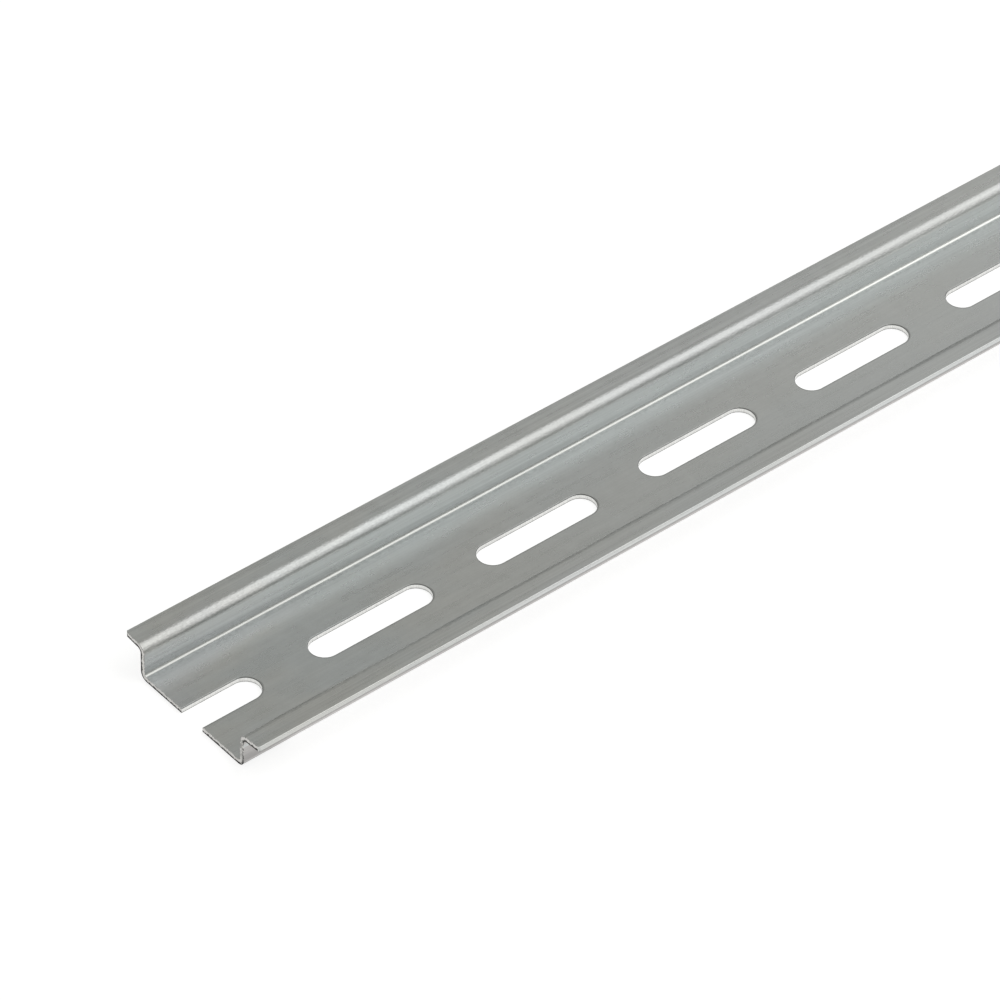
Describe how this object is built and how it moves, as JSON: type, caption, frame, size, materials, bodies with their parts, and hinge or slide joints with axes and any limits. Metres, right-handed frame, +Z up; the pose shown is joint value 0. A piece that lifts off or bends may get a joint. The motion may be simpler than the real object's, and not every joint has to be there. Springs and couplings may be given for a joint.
{
  "type": "din rail",
  "caption": "Slotted top-hat mounting rail of thin roll-formed zinc-plated steel, with a shallow open channel, outturned flanges and long round-ended slots in its base.",
  "frame": {"origin": "middle of the rail's length and width, on the underside of the base", "axes": "+X along the rail, away from the end whose cut lies nearer a slot's middle; +Y across the rail; +Z up, from the base towards the flanges"},
  "size_m": [0.25, 0.035, 0.0075],
  "materials": {
    "zinc_plated_steel": "zinc plated and passivated, with faint rolling marks along its length"
  },
  "bodies": {
    "root": {"rail": "zinc_plated_steel"}
  },
  "joints": []
}
